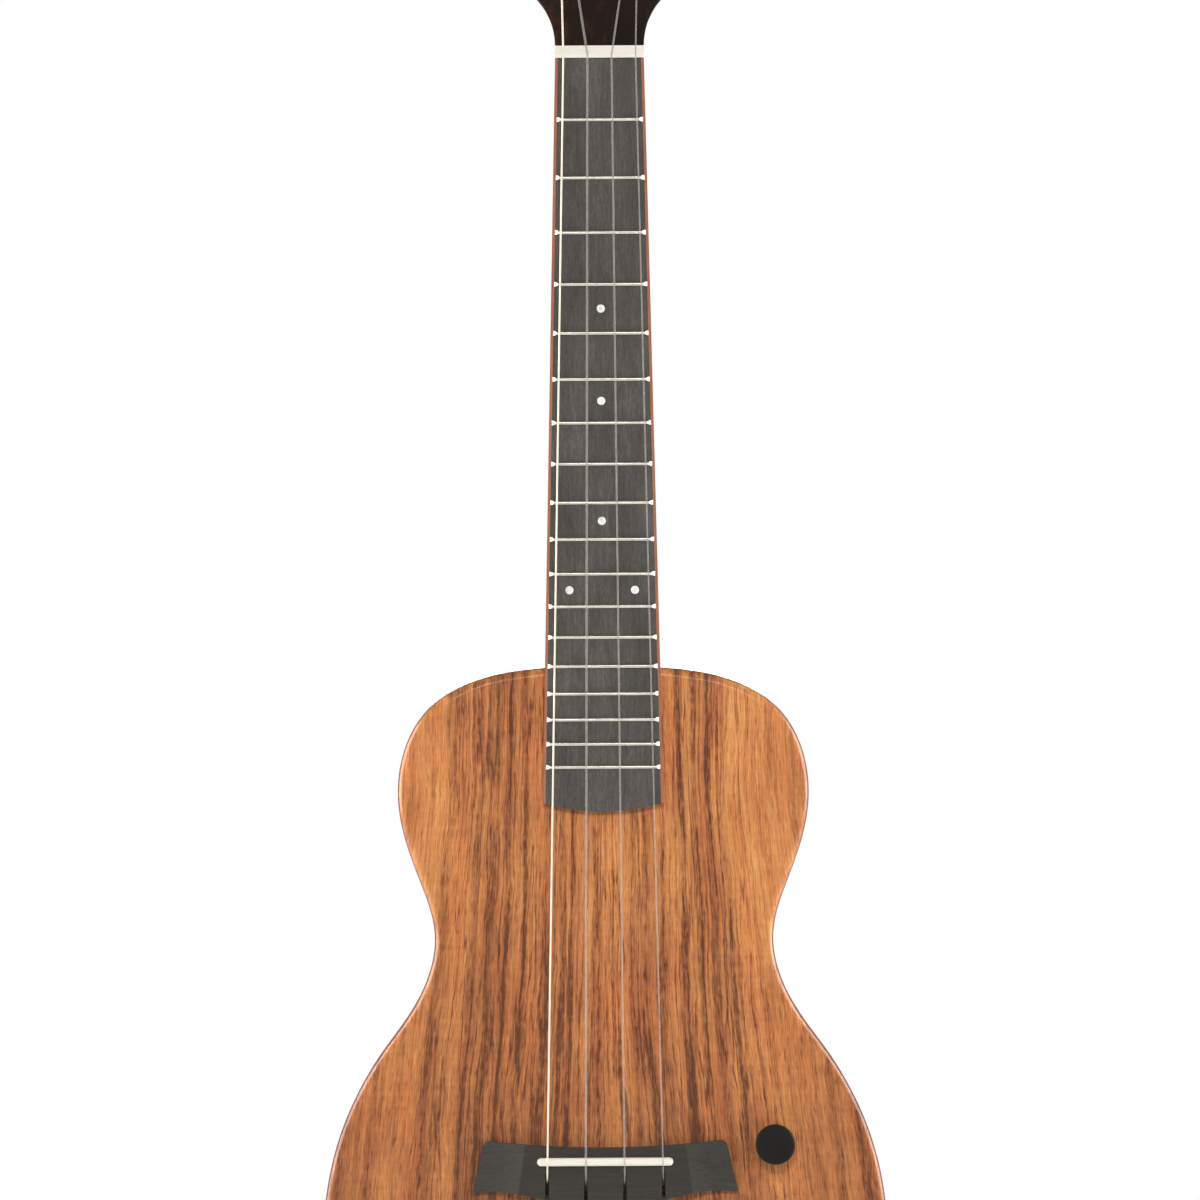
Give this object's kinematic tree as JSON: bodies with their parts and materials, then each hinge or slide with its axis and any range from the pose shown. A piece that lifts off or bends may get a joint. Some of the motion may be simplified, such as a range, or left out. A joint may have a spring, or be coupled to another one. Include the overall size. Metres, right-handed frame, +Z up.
{
  "type": "ukulele",
  "caption": "Chambered electric tenor ukulele with a solid figured top, fretted neck, geared tuners, under-saddle pickup, volume knob and end jack.",
  "frame": {"origin": "on the centre line at the nut's front edge, in the plane of the body's face: where the neck passes a wall hanger's yoke, just under the headstock", "axes": "+Z up along the neck towards the headstock, +X towards the treble side, the face looks towards -Y and +Y is into the wall that it hangs on"},
  "size_m": [0.222, 0.0524, 0.6769],
  "materials": {
    "top_wood": "figured top wood, satin lacquer, straight grain",
    "body_wood": "body wood, satin lacquer",
    "neck_wood": "neck wood, satin",
    "dark_wood": "dark open-grained wood, oiled",
    "head_veneer": "dark veneer, satin",
    "binding_wood": "reddish wood binding, satin",
    "bone": "ivory-white synthetic bone, satin",
    "dot_inlay": "white inlay",
    "fret_metal": "polished nickel silver",
    "carbon": "carbon fibre bar",
    "piezo": "sheathed piezo strip",
    "tuner_metal": "polished plating",
    "gear_brass": "machined brass",
    "button_black": "moulded black",
    "wound_string": "fine metal winding",
    "plain_string": "clear monofilament",
    "knob_black": "matte black",
    "steel_parts": "zinc-plated steel",
    "jack_metal": "nickel plating",
    "cover_plastic": "textured black sheet",
    "screw_black": "black oxide",
    "board_green": "circuit board",
    "battery_skin": "plain dark battery jacket",
    "snap_black": "moulded",
    "wire_skin": "insulated leads"
  },
  "bodies": {
    "root": {"body_cap": "top_wood", "body_core": "body_wood", "neck": "neck_wood", "fretboard": "dark_wood", "bridge": "dark_wood", "headstock_overlay": "head_veneer", "fretboard_binding": "binding_wood", "nut": "bone", "saddle": "bone", "position_dots": "dot_inlay", "frets": "fret_metal", "neck_rod": "carbon", "saddle_pickup": "piezo", "tuner_bushings": "tuner_metal", "tuner_screws": "tuner_metal", "tuner_base_g": "tuner_metal", "tuner_base_c": "tuner_metal", "tuner_base_e": "tuner_metal", "tuner_base_a": "tuner_metal", "string_g": "wound_string", "string_c": "plain_string", "string_e": "plain_string", "string_a": "plain_string", "pot_case": "steel_parts", "pot_fixings": "steel_parts", "jack_fixings": "steel_parts", "jack_barrel": "jack_metal", "strap_button": "jack_metal", "cavity_cover": "cover_plastic", "cover_screws": "screw_black", "preamp_board": "board_green", "battery": "battery_skin", "battery_snap": "snap_black", "wiring": "wire_skin"},
    "post_g": {"post_g": "tuner_metal", "gear_g": "gear_brass", "gear_screw_g": "tuner_metal", "coil_g": "wound_string"},
    "key_g": {"worm_g": "tuner_metal", "button_g": "button_black"},
    "post_c": {"post_c": "tuner_metal", "gear_c": "gear_brass", "gear_screw_c": "tuner_metal", "coil_c": "plain_string"},
    "key_c": {"worm_c": "tuner_metal", "button_c": "button_black"},
    "post_e": {"post_e": "tuner_metal", "gear_e": "gear_brass", "gear_screw_e": "tuner_metal", "coil_e": "plain_string"},
    "key_e": {"worm_e": "tuner_metal", "button_e": "button_black"},
    "post_a": {"post_a": "tuner_metal", "gear_a": "gear_brass", "gear_screw_a": "tuner_metal", "coil_a": "plain_string"},
    "key_a": {"worm_a": "tuner_metal", "button_a": "button_black"},
    "volume": {"volume_knob": "knob_black", "pot_shaft": "steel_parts"}
  },
  "joints": [
    {"name": "key_turn_g", "type": "hinge", "parent": "root", "child": "key_g", "pos_m": [-0.0181, 0.0235, 0.03313], "axis": [-1, 0, 0], "continuous": true},
    {"name": "post_turn_g", "type": "hinge", "parent": "root", "child": "post_g", "pos_m": [-0.0181, 0.00617, 0.04438], "axis": [0, -0.9781, 0.2079], "continuous": true},
    {"name": "key_turn_c", "type": "hinge", "parent": "root", "child": "key_c", "pos_m": [-0.0205, 0.03224, 0.07422], "axis": [-1, 0, 0], "continuous": true},
    {"name": "post_turn_c", "type": "hinge", "parent": "root", "child": "post_c", "pos_m": [-0.0205, 0.0149, 0.08547], "axis": [0, -0.9781, 0.2079], "continuous": true},
    {"name": "key_turn_e", "type": "hinge", "parent": "root", "child": "key_e", "pos_m": [0.0205, 0.03224, 0.07422], "axis": [1, 0, 0], "continuous": true},
    {"name": "post_turn_e", "type": "hinge", "parent": "root", "child": "post_e", "pos_m": [0.0205, 0.0149, 0.08547], "axis": [0, -0.9781, 0.2079], "continuous": true},
    {"name": "key_turn_a", "type": "hinge", "parent": "root", "child": "key_a", "pos_m": [0.0181, 0.0235, 0.03313], "axis": [1, 0, 0], "continuous": true},
    {"name": "post_turn_a", "type": "hinge", "parent": "root", "child": "post_a", "pos_m": [0.0181, 0.00617, 0.04438], "axis": [0, -0.9781, 0.2079], "continuous": true},
    {"name": "volume_turn", "type": "hinge", "parent": "root", "child": "volume", "pos_m": [0.067, 0, -0.428], "axis": [0, -1, 0], "range_deg": [-150, 150]}
  ],
  "couplings": [
    {"joint": "post_turn_g", "follows": "key_turn_g", "ratio": 0.071429},
    {"joint": "post_turn_c", "follows": "key_turn_c", "ratio": 0.071429},
    {"joint": "post_turn_e", "follows": "key_turn_e", "ratio": -0.071429},
    {"joint": "post_turn_a", "follows": "key_turn_a", "ratio": -0.071429}
  ]
}
